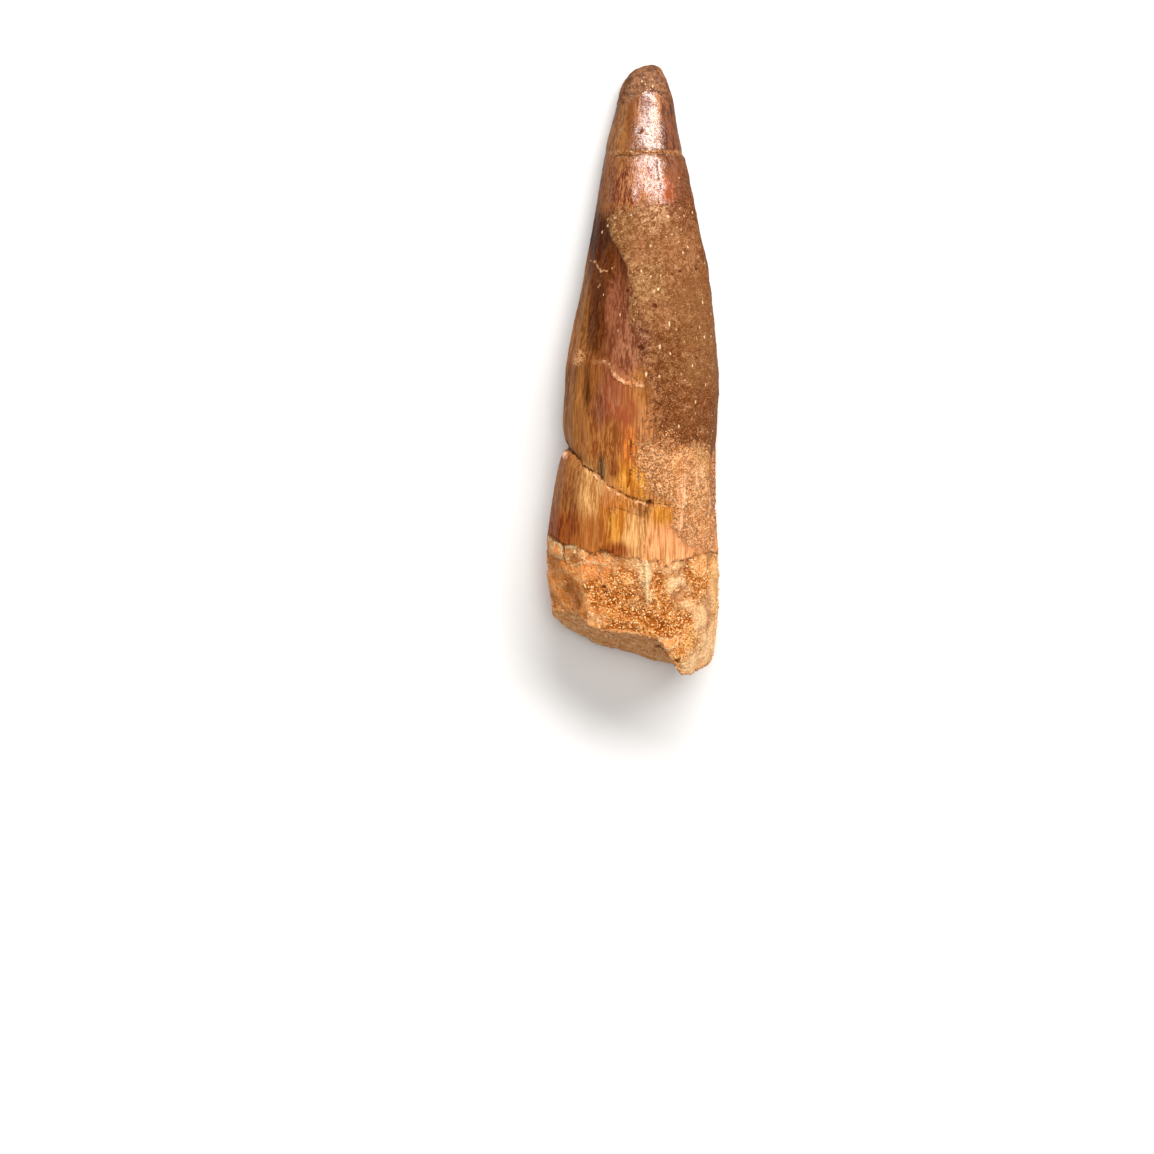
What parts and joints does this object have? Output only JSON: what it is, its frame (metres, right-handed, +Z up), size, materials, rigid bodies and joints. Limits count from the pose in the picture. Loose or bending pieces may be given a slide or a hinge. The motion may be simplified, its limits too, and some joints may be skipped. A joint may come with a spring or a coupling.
{
  "type": "fossil spinosaurus tooth",
  "caption": "Fossil dinosaur tooth: a tall conical crown with glossy worn enamel, sandy crust and a glued crack, broken off at a rough, crumbling root.",
  "frame": {"origin": "on the resting surface, under the middle of the tooth's outline seen from above", "axes": "+Z up; +Y along the tooth towards its point; the pictured face is up, and +X is its right side"},
  "size_m": [0.0244, 0.0862, 0.0191],
  "materials": {
    "fossil_tooth": "mineralised enamel, glossy red-brown near the point and streaked tan below, with matte sandy skin and cream, crumbly root"
  },
  "bodies": {
    "root": {"tooth": "fossil_tooth"}
  },
  "joints": []
}
